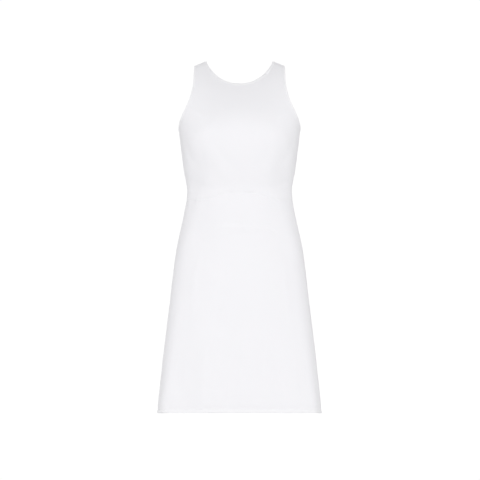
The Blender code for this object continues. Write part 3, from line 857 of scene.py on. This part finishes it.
# %% [markdown]
# ## Panels
# A panel is a grid of spots on the cloth. The bodice's grid bends with its edges: rows turn up into the
# armhole, and a Coons patch, which blends four edge curves, fills the chest and each strap. The skirt's
# grid is simpler, with rows from the hem up to the waist. A few extra rows and columns lie close to the
# seams, where the cloth turns in sharply. Each grid becomes a closed shell with an outer and an inner face,
# because a single face has no edge to catch the light. A bodice panel runs 2 mm under its bands, as it does
# when they are sewn on.

# %% Grids of the panels
WALL = 0.0009
HEM_WALL = 0.0021
HEM_ROUND = 0.0010
HEM_ROUND_LIMIT = 0.97
HEM_FINE_FROM = 1.2
BAND_WIDTH = 0.006
TUCK = 0.002
HEM_FINE_ROWS = 14
HEM_FINE_HEIGHT = 0.024
SKIRT_ROWS = 92
ROUND_SHARES = (0.12, 0.45, 1.0)
CLOSE_SHARES = (0.25, 0.55)


def filled(bottom, top, left, right):
    """Rows of places that fill the patch inside four edges, as a Coons patch does."""
    up = np.linspace(0, 1, len(left))[:, None, None]
    over = np.linspace(0, 1, len(bottom))[None, :, None]
    levels = (1 - up) * bottom[None] + up * top[None]
    sides = (1 - over) * left[:, None] + over * right[:, None]
    low = (1 - over) * bottom[0] + over * bottom[-1]
    high = (1 - over) * top[0] + over * top[-1]
    return levels + sides - (1 - up) * low - up * high


def between(start, end, count):
    """count + 1 places on the straight way from one (angle, fall) to another."""
    share = np.linspace(0, 1, count + 1)[:, None]
    return (1 - share) * start + share * end


def seam_angles(fall, count):
    """Angles from the left side seam to the right one, evenly spaced along the cloth."""
    angles = np.linspace(0, math.pi, EDGE_SAMPLES)
    points = surface(angles, np.full(EDGE_SAMPLES, fall))
    run = np.concatenate([[0], np.cumsum(np.linalg.norm(np.diff(points, axis=0), axis=1))])
    return np.interp(np.linspace(0, run[-1], count + 1), run, angles)


def closer(grid, axis, start, end):
    """Adds rows or columns near the first or the last one of a grid."""
    grid = np.moveaxis(grid, axis, 0)
    parts = [grid[:1]]
    if start:
        parts += [grid[:1] + share * (grid[1:2] - grid[:1]) for share in CLOSE_SHARES]
    parts.append(grid[1:-1])
    if end:
        parts += [grid[-1:] + share * (grid[-2:-1] - grid[-1:]) for share in reversed(CLOSE_SHARES)]
    parts.append(grid[-1:])
    return np.moveaxis(np.concatenate(parts), 0, axis)


def seam_edges(side):
    """A bodice panel's edges at the left armhole, from the underarm up, and at the neck, from the left."""
    steps = UNDERARM_COLUMNS + CHEST_ROWS + STRAP_ROWS
    armhole = moved_in(armhole_ring, BAND_WIDTH - TUCK)
    armhole = armhole[: steps + 1] if side > 0 else np.concatenate([armhole[:1], armhole[: steps - 1 : -1]])
    armhole = armhole.copy()
    armhole[0, 1] = side * abs(armhole[0, 1])
    count = 2 * STRAP_ROWS + NECK_COLUMNS
    neck = moved_in(neck_ring, BAND_WIDTH - TUCK)
    neck = neck[: count + 1] if side > 0 else np.concatenate([neck[:1], neck[: count - 1 : -1]])
    return armhole, neck


def bodice_grid(side):
    """Rows of (angle, fall) from the waist seam up, with nan where the armholes and the neck are open."""
    armhole, neck = seam_edges(side)
    under = armhole[: UNDERARM_COLUMNS + 1]
    chest_side = armhole[UNDERARM_COLUMNS : UNDERARM_COLUMNS + CHEST_ROWS + 1]
    strap_side = armhole[UNDERARM_COLUMNS + CHEST_ROWS :]
    neck_side = neck[: STRAP_ROWS + 1][::-1]
    scoop = neck[STRAP_ROWS : STRAP_ROWS + NECK_COLUMNS + 1]

    chest = between(under[-1], mirrored(under[-1]), CHEST_COLUMNS)
    top = np.concatenate([under[:-1], chest, mirrored(under)[::-1][1:]])
    bottom = np.empty(top.shape)
    even = seam_angles(side * math.sqrt(-WAIST_SIDE_HEIGHT), PANEL_COLUMNS)
    bottom[:, 0] = (even + top[:, 0]) / 2
    bottom[[0, -1], 0] = top[[0, -1], 0]
    bottom[:, 1] = waist_fall(bottom[:, 0], side)

    rows = BODICE_ROWS + CHEST_ROWS + STRAP_ROWS
    grid = np.full((rows + 1, PANEL_COLUMNS + 1, 2), math.nan)
    for row in range(BODICE_ROWS + 1):
        share = row / BODICE_ROWS
        grid[row] = (1 - share) * bottom + share * top
    strap_base = between(strap_side[0], neck_side[0], STRAP_COLUMNS)
    chest_top = np.concatenate([strap_base[:-1], scoop, mirrored(strap_base)[::-1][1:]])
    chest_patch = filled(chest, chest_top, chest_side, mirrored(chest_side))
    first, last = UNDERARM_COLUMNS, PANEL_COLUMNS - UNDERARM_COLUMNS
    grid[BODICE_ROWS + 1 : BODICE_ROWS + CHEST_ROWS + 1, first : last + 1] = chest_patch[1:]
    shoulder = between(strap_side[-1], neck_side[-1], STRAP_COLUMNS)
    strap = filled(strap_base, shoulder, strap_side, neck_side)[1:]
    grid[BODICE_ROWS + CHEST_ROWS + 1 :, first : first + STRAP_COLUMNS + 1] = strap
    grid[BODICE_ROWS + CHEST_ROWS + 1 :, last - STRAP_COLUMNS : last + 1] = mirrored(strap)[:, ::-1]
    return closer(closer(grid, 0, True, True), 1, True, True)


def skirt_grid(side):
    """Rows of (angle, fall) from the hem up to the waist seam."""
    hem = np.empty((PANEL_COLUMNS + 1, 2))
    hem[:, 1] = side * math.sqrt(-HEM_HEIGHT)
    hem[:, 0] = seam_angles(hem[0, 1], PANEL_COLUMNS)
    angles = seam_angles(side * math.sqrt(-WAIST_SIDE_HEIGHT), PANEL_COLUMNS)
    waist = np.stack([angles, waist_fall(angles, side)], axis=1)
    fine = HEM_FINE_HEIGHT * np.arange(1, HEM_FINE_ROWS + 1) / HEM_FINE_ROWS
    fine = fine[fine > HEM_FINE_FROM * HEM_ROUND]
    heights = np.concatenate([[0], HEM_ROUND * np.array(ROUND_SHARES), fine])
    full = waist[:, 1] - hem[:, 1]
    shares = [(side * math.sqrt(-HEM_HEIGHT - height) - hem[:, 1]) / full for height in heights]
    last = shares[-1]
    shares += [last + (1 - last) * row / SKIRT_ROWS for row in range(1, SKIRT_ROWS + 1)]
    grid = np.array([hem + share[:, None] * (waist - hem) for share in shares])
    return closer(closer(grid, 0, False, True), 1, True, True)


grids = {
    "front_bodice": bodice_grid(FRONT),
    "back_bodice": bodice_grid(BACK),
    "front_skirt": skirt_grid(FRONT),
    "back_skirt": skirt_grid(BACK),
}
for name, grid in grids.items():
    print(name, grid.shape[:2], "spots")

# %% [markdown]
# ## Shells
# The outer face and the inner face share one list of quads. The inner one is turned round, and a rim of
# quads joins them, so the shell is closed and every face points outwards. The unrolled place of each spot
# goes into the UV map. The hem's fold is rounded by drawing both faces together over the last millimetre.

# %% Shells of cloth
SHARP_ANGLE = math.radians(50)
MIRROR = np.array([-1.0, 1.0, 1.0])


def grid_faces(present, upward):
    """Faces over a grid of points, numbered along its rows, where all four corners are present."""
    number = np.cumsum(present.reshape(-1)).reshape(present.shape) - 1
    full = present[:-1, :-1] & present[:-1, 1:] & present[1:, :-1] & present[1:, 1:]
    corners = (number[:-1, :-1], number[:-1, 1:], number[1:, 1:], number[1:, :-1])
    faces = np.stack([corner[full] for corner in corners], axis=1)
    return faces if upward else faces[:, ::-1]


def rim_faces(faces, shift):
    """Quads that join the free edges of a sheet to those of its copy, whose points come shift later."""
    starts, ends = faces.reshape(-1), np.roll(faces, -1, axis=1).reshape(-1)
    edges = set(zip(starts.tolist(), ends.tolist()))
    free = sorted(edge for edge in edges if edge[::-1] not in edges)
    return [(end, start, start + shift, end + shift) for start, end in free]


def add_piece(name, points, faces, unrolled, double, material):
    """A smooth mesh object with the cloth's UV map and its double attribute."""
    mesh = bpy.data.meshes.new(name)
    mesh.from_pydata(points.tolist(), [], [tuple(map(int, face)) for face in faces])
    corners = np.empty(len(mesh.loops), np.int32)
    mesh.loops.foreach_get("vertex_index", corners)
    layer = mesh.uv_layers.new(name="cloth")
    layer.data.foreach_set("uv", unrolled[corners].astype(np.float32).reshape(-1))
    attribute = mesh.attributes.new("double", "FLOAT", "POINT")
    attribute.data.foreach_set("value", double.astype(np.float32))
    mesh.shade_smooth()
    mesh.set_sharp_from_angle(angle=SHARP_ANGLE)
    mesh.materials.append(material)
    piece = bpy.data.objects.new(name, mesh)
    scene.collection.objects.link(piece)
    return piece


def add_panel(name, grid, side):
    """A closed shell of cloth over a grid of places, thicker where the hem is turned up."""
    present = ~np.isnan(grid[..., 0])
    places = grid[present]
    high = above_hem(places)
    is_skirt = name.endswith("skirt")
    turned_up = is_skirt & (high < HEM_TURN)
    wall = np.where(turned_up, HEM_WALL, WALL)
    rounding = np.zeros(len(places))
    if is_skirt:
        left = np.clip(HEM_ROUND - high, 0, HEM_ROUND_LIMIT * HEM_ROUND)
        rounding = HEM_ROUND - np.sqrt(HEM_ROUND**2 - left**2)
    outer = cloth(places, -rounding)
    inner = cloth(places, rounding - wall)
    faces = grid_faces(present, side < 0)
    rim = rim_faces(faces, len(places))
    every = [*faces.tolist(), *(faces[:, ::-1] + len(places)).tolist(), *rim]
    unrolled = np.stack([across(places, side), -down_cloth(places)], axis=1)
    double = turned_up.astype(float)
    both = (np.concatenate([unrolled, unrolled]), np.concatenate([double, double]))
    return add_piece(name + "_knit", np.concatenate([outer, inner]), every, *both, panel_knit)


panels = {
    name: add_panel(name, grid, FRONT if name.startswith("front") else BACK)
    for name, grid in grids.items()
}
for name, piece in panels.items():
    print(piece.name, len(piece.data.polygons), "faces")

# %% [markdown]
# ## Bands
# Each band is one narrow strip of the same knit, folded over the raw edge and sewn through. Its section is
# a flattened round, written as a superellipse, which gives soft corners with one formula. The section is
# carried round the neck or the armhole. Being double, a band looks a little whiter than the panels.

# %% Bands of the neck and the armholes
BAND_WALL = 0.0020
BAND_PROUD = 0.0004
BAND_SECTION_POINTS = 28
BAND_SQUARENESS = 3.4


def add_band(name, ring, mirror):
    """A folded strip round an opening: one flattened round, carried along the edge."""
    turns = 2 * math.pi * np.arange(BAND_SECTION_POINTS) / BAND_SECTION_POINTS
    power = 2 / BAND_SQUARENESS
    sideways = np.sign(np.cos(turns)) * np.abs(np.cos(turns)) ** power
    upwards = np.sign(np.sin(turns)) * np.abs(np.sin(turns)) ** power
    insets = BAND_WIDTH / 2 * (1 - sideways)
    lifts = BAND_PROUD - BAND_WALL / 2 + BAND_WALL / 2 * upwards
    steps = steps_away(ring)
    loops, unrolled = [], []
    base = surface(ring[:, 0], ring[:, 1])
    run = np.concatenate([[0], np.cumsum(np.linalg.norm(np.diff(base, axis=0), axis=1))])
    for inset, lift in zip(insets, lifts):
        places = ring + inset * steps
        normal = outward(places)
        loops.append(surface(places[:, 0], places[:, 1]) + lift * normal)
        unrolled.append(np.stack([run, np.full(len(run), inset + abs(lift))], axis=1))
    count, rounds = len(ring), BAND_SECTION_POINTS
    layer, column = np.meshgrid(np.arange(rounds), np.arange(count), indexing="ij")
    ahead, following = (column + 1) % count, (layer + 1) % rounds
    corners = ((layer, column), (layer, ahead), (following, ahead), (following, column))
    faces = np.stack([row * count + place for row, place in corners], axis=-1).reshape(-1, 4)
    points = np.concatenate(loops)
    if mirror:
        points = points * MIRROR
        faces = faces[:, ::-1]
    double = np.ones(len(points))
    return add_piece(name + "_knit", points, faces, np.concatenate(unrolled), double, band_knit)


bands = {
    "neck_band": add_band("neck_band", neck_ring, False),
    "armhole_band_left": add_band("armhole_band_left", armhole_ring, False),
    "armhole_band_right": add_band("armhole_band_right", armhole_ring, True),
}
for piece in bands.values():
    print(piece.name, len(piece.data.polygons), "faces")

# %% [markdown]
# ## Stitches
# Two rows of stitches lie along the waist seam, one holds up the hem, and one holds each band. A row is the
# same short loop of thread a few hundred times over, all round the dress, which is work for Geometry Nodes.
# The tree takes a closed path, marks it off at an even pitch, and lays a small bead of thread along the
# path at each mark. No two stitches are pulled quite alike, so their size varies a little. The thread sinks
# half into the knit.

# %% Stitches along the seams, the hem and the bands
THREAD_COLOUR = (0.890, 0.888, 0.910, 1.0)
THREAD_ROUGHNESS = 0.45
STITCH_PITCH = 0.0026
STITCH_SEED = 5
BEAD_SEGMENTS = 6
BEAD_RINGS = 5
BEAD_RADIUS = 0.5
STITCH_LENGTH = 0.0021
THREAD_THICKNESS = 0.00044
THREAD_PROUD = 0.00016
SMALLEST_STITCH = 0.88
LARGEST_STITCH = 1.10
ROW_GAP = 0.0055
HEM_ROW = 0.0080
BAND_ROW = 0.0046
WAIST_SAMPLES = 240

thread = bpy.data.materials.new("thread")
thread.use_nodes = True
thread.node_tree.nodes["Principled BSDF"].inputs["Base Color"].default_value = THREAD_COLOUR
thread.node_tree.nodes["Principled BSDF"].inputs["Roughness"].default_value = THREAD_ROUGHNESS

stitching = bpy.data.node_groups.new("stitching", "GeometryNodeTree")
stitching.interface.new_socket("Path", in_out="INPUT", socket_type="NodeSocketGeometry")
stitching.interface.new_socket("Stitches", in_out="OUTPUT", socket_type="NodeSocketGeometry")
STITCH_SIZES = {"Pitch": STITCH_PITCH, "Length": STITCH_LENGTH, "Thickness": THREAD_THICKNESS}
size_sockets = {
    name: stitching.interface.new_socket(name, in_out="INPUT", socket_type="NodeSocketFloat").identifier
    for name in STITCH_SIZES
}
flow = Wire(stitching)
path, pitch, length, thickness = (
    flow.add("NodeGroupInput", output=name) for name in ("Path", "Pitch", "Length", "Thickness")
)
curve = flow.add("GeometryNodeMeshToCurve", {}, {"Mesh": path})
marks = flow.add("GeometryNodeResampleCurve", {"mode": "LENGTH"}, {"Curve": curve, "Length": pitch})
bead_sizes = {"Segments": BEAD_SEGMENTS, "Rings": BEAD_RINGS, "Radius": BEAD_RADIUS}
bead = flow.add("GeometryNodeMeshUVSphere", {}, bead_sizes)
extent = flow.add("ShaderNodeCombineXYZ", {}, {"X": length, "Y": thickness, "Z": thickness})
stitch = flow.add("GeometryNodeTransform", {}, {"Geometry": bead, "Scale": extent})
tangent = flow.add("GeometryNodeInputTangent")
turned = flow.add("FunctionNodeAlignRotationToVector", {"axis": "X"}, {"Vector": tangent})
sizes = {2: SMALLEST_STITCH, 3: LARGEST_STITCH, "Seed": STITCH_SEED}
uneven = flow.add("FunctionNodeRandomValue", {"data_type": "FLOAT"}, sizes, 1)
placing = {"Points": marks, "Instance": stitch, "Rotation": turned, "Scale": uneven}
placed = flow.add("GeometryNodeInstanceOnPoints", {}, placing)
sewn = flow.add("GeometryNodeRealizeInstances", {}, {"Geometry": placed})
coloured = flow.add("GeometryNodeSetMaterial", {}, {"Geometry": sewn, "Material": thread})
coloured.to(stitching.nodes.new("NodeGroupOutput").inputs["Stitches"])


def add_stitches(name, loops):
    """One piece with a row of stitches along each closed loop of points."""
    edges, start = [], 0
    for loop in loops:
        edges += [(start + row, start + (row + 1) % len(loop)) for row in range(len(loop))]
        start += len(loop)
    mesh = bpy.data.meshes.new(name + "_path")
    mesh.from_pydata(np.concatenate(loops).tolist(), edges, [])
    piece = bpy.data.objects.new(name, mesh)
    scene.collection.objects.link(piece)
    modifier = piece.modifiers.new("stitching", "NODES")
    modifier.node_group = stitching
    for size, value in STITCH_SIZES.items():
        modifier[size_sockets[size]] = value
    graph = bpy.context.evaluated_depsgraph_get()
    stitched = bpy.data.meshes.new_from_object(piece.evaluated_get(graph))
    piece.modifiers.clear()
    piece.data = stitched
    stitched.shade_smooth()
    return piece


def on_band(ring):
    """A loop on the outer face of a band, along its sewn edge."""
    row = moved_in(ring, BAND_ROW)
    return surface(row[:, 0], row[:, 1]) + (BAND_PROUD + THREAD_PROUD) * outward(row)


front_turn = seam_angles(math.sqrt(-WAIST_SIDE_HEIGHT), WAIST_SAMPLES)
back_turn = seam_angles(-math.sqrt(-WAIST_SIDE_HEIGHT), WAIST_SAMPLES)
turn = np.concatenate([front_turn, back_turn[::-1][1:-1]])
is_front = np.arange(len(turn)) <= WAIST_SAMPLES
seam = np.where(is_front, waist_fall(turn, FRONT), waist_fall(turn, BACK))
hem = np.where(is_front, 1.0, -1.0) * math.sqrt(-HEM_HEIGHT - HEM_ROW)
waist_rows = []
for up in (-ROW_GAP / 2, ROW_GAP / 2):
    fall = np.sign(seam) * np.sqrt(seam**2 - up)
    waist_rows.append(cloth(np.stack([turn, fall], axis=1), THREAD_PROUD))
stitches = {
    "waist_stitches": add_stitches("waist_stitches", waist_rows),
    "hem_stitches": add_stitches("hem_stitches", [cloth(np.stack([turn, hem], axis=1), THREAD_PROUD)]),
    "neck_stitches": add_stitches("neck_stitches", [on_band(neck_ring)]),
    "armhole_stitches_left": add_stitches("armhole_stitches_left", [on_band(armhole_ring)]),
    "armhole_stitches_right": add_stitches("armhole_stitches_right", [on_band(armhole_ring) * MIRROR]),
}
for piece in stitches.values():
    print(piece.name, len(piece.data.polygons), "faces")

# %% [markdown]
# ## Pieces on the body
# Every piece goes with the one body of the dress. Panels and bands take the place of the solid pieces whose
# form they have. A table lists the size that each of the four panels is cut to: width across, length down,
# and area, without the seam allowances, and the sizes measured on the panels are printed beside it. The
# bodice hangs from the wearer's shoulders, and the skirt from the bodice. Bands and stitches go with the
# same body as the panels that they are sewn to.

Cut = namedtuple("Cut", "width length area")
CUTS = {
    "front_bodice": Cut(0.434, 0.374, 0.110),
    "back_bodice": Cut(0.400, 0.386, 0.086),
    "front_skirt": Cut(0.544, 0.546, 0.249),
    "back_skirt": Cut(0.550, 0.530, 0.249),
}
for name, piece in {**panels, **bands}.items():
    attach(piece, "root")
    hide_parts(name)
for piece in stitches.values():
    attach(piece, "root")

for name, cut in CUTS.items():
    over, down = from_middle(grids[name]), down_cloth(grids[name])
    width = np.nanmax(over) - np.nanmin(over)
    longest_column = np.nanmax(np.nanmax(down, axis=0) - np.nanmin(down, axis=0))
    length = np.nanmax(down) - np.nanmin(down)
    area = sum(face.area for face in panels[name].data.polygons) / 2
    sizes = [round(float(size), 4) for size in (width, length, longest_column, area)]
    print(name, "width, length, longest column and area:", sizes, "declared", tuple(cut))
